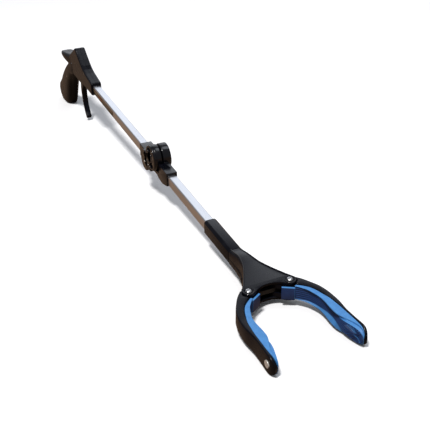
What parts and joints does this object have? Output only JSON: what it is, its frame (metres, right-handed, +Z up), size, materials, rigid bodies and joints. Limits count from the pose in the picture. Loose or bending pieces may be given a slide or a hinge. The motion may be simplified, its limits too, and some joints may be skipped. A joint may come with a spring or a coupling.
{
  "type": "reacher grabber",
  "caption": "Folding pick-up reacher with pistol grip and trigger, square tube with a fold hinge, and a turning head with two lined cable-pulled jaws.",
  "frame": {"origin": "middle of the tool's footprint, on the table it rests on", "axes": "+X along the tool towards the jaws, +Y to the user's left, +Z up from the table"},
  "size_m": [0.9488, 0.1004, 0.1258],
  "materials": {
    "handle_shell_left": "fine moulded grain",
    "handle_shell_right": "fine moulded grain",
    "handle_screws": "bright zinc plated",
    "trigger_pin": "bright zinc plated",
    "trigger": "fine moulded grain",
    "cable_anchor": "bright zinc plated",
    "cable_rear": "twisted strand",
    "cable_front": "twisted strand",
    "tube_rear": "satin, drawn lengthwise",
    "tube_front": "satin, drawn lengthwise",
    "hinge_knuckle_rear": "smooth moulded",
    "hinge_knuckle_front": "smooth moulded",
    "hinge_bolt": "bright zinc plated",
    "hinge_nut": "bright zinc plated",
    "hinge_washer": "fine moulded grain",
    "fold_latch": "smooth moulded",
    "latch_pin": "bright zinc plated",
    "latch_spring": "bright zinc plated",
    "head_sleeve": "fine moulded grain",
    "head_shell_top": "fine moulded grain",
    "head_shell_bottom": "fine moulded grain",
    "head_screws": "bright zinc plated",
    "pivot_bolts": "bright zinc plated",
    "pivot_nuts": "bright zinc plated",
    "return_spring": "bright zinc plated",
    "jaw_arm_left": "fine moulded grain",
    "jaw_arm_right": "fine moulded grain",
    "jaw_liner_left": "soft matt, ribbed",
    "jaw_liner_right": "soft matt, ribbed",
    "link_pin_left": "bright zinc plated",
    "link_pin_right": "bright zinc plated",
    "tip_magnet": "nickel plated",
    "slider": "fine moulded grain",
    "cable_stop": "bright zinc plated"
  },
  "bodies": {
    "handle": {"handle_shell_left": "handle_shell_left", "handle_shell_right": "handle_shell_right", "handle_screws": "handle_screws", "trigger_pin": "trigger_pin", "tube_rear": "tube_rear", "hinge_knuckle_rear": "hinge_knuckle_rear", "hinge_bolt": "hinge_bolt", "hinge_nut": "hinge_nut", "hinge_washer": "hinge_washer", "latch_pin": "latch_pin", "latch_spring": "latch_spring"},
    "trigger": {"trigger": "trigger", "cable_anchor": "cable_anchor"},
    "rear_cable": {"cable_rear": "cable_rear"},
    "latch": {"fold_latch": "fold_latch"},
    "front_arm": {"hinge_knuckle_front": "hinge_knuckle_front", "tube_front": "tube_front", "head_sleeve": "head_sleeve"},
    "head": {"head_shell_top": "head_shell_top", "head_shell_bottom": "head_shell_bottom", "head_screws": "head_screws", "pivot_bolts": "pivot_bolts", "pivot_nuts": "pivot_nuts", "return_spring": "return_spring"},
    "slider": {"slider": "slider", "cable_front": "cable_front", "cable_stop": "cable_stop"},
    "left_jaw": {"jaw_arm_left": "jaw_arm_left", "jaw_liner_left": "jaw_liner_left", "link_pin_left": "link_pin_left"},
    "right_jaw": {"jaw_arm_right": "jaw_arm_right", "jaw_liner_right": "jaw_liner_right", "link_pin_right": "link_pin_right", "tip_magnet": "tip_magnet"}
  },
  "joints": [
    {"name": "trigger_pull", "type": "hinge", "parent": "handle", "child": "trigger", "pos_m": [-0.28528, 0.00054, 0.09133], "axis": [0, 1, 0], "range_deg": [0, 30], "stiffness_Nm_per_rad": 1.2, "springref_deg": -20.05},
    {"name": "rear_cable_slide", "type": "slide", "parent": "handle", "child": "rear_cable", "axis": [-0.9946, 0, 0.1033], "range_m": [0, 0.0054]},
    {"name": "latch_press", "type": "hinge", "parent": "handle", "child": "latch", "pos_m": [0.04258, 0.00054, 0.04396], "axis": [0, 1, 0], "range_deg": [0, 8], "stiffness_Nm_per_rad": 0.12, "springref_deg": -11.46, "deforming": ["latch_spring"]},
    {"name": "fold", "type": "hinge", "parent": "handle", "child": "front_arm", "pos_m": [0.06703, 0.00054, 0.0567], "axis": [0, -1, 0], "range_deg": [0, 165]},
    {"name": "head_turn", "type": "hinge", "parent": "front_arm", "child": "head", "pos_m": [0.30451, 0.00054, 0.01997], "axis": [0.9946, 0, -0.1033], "range_deg": [-90, 0]},
    {"name": "slider_pull", "type": "slide", "parent": "head", "child": "slider", "axis": [-0.9946, 0, 0.1033], "range_m": [0, 0.0054], "deforming": ["return_spring"]},
    {"name": "left_jaw_close", "type": "hinge", "parent": "head", "child": "left_jaw", "pos_m": [0.37348, 0.02344, 0.01612], "axis": [-0.1033, 0, -0.9946], "range_deg": [0, 22]},
    {"name": "right_jaw_close", "type": "hinge", "parent": "head", "child": "right_jaw", "pos_m": [0.37348, -0.02236, 0.01612], "axis": [0.1033, 0, 0.9946], "range_deg": [0, 22]}
  ],
  "couplings": [
    {"joint": "rear_cable_slide", "follows": "trigger_pull", "m_per_rad": 0.01031},
    {"joint": "slider_pull", "follows": "trigger_pull", "m_per_rad": 0.01031},
    {"joint": "left_jaw_close", "follows": "trigger_pull", "ratio": 0.7333},
    {"joint": "right_jaw_close", "follows": "trigger_pull", "ratio": 0.7333}
  ]
}
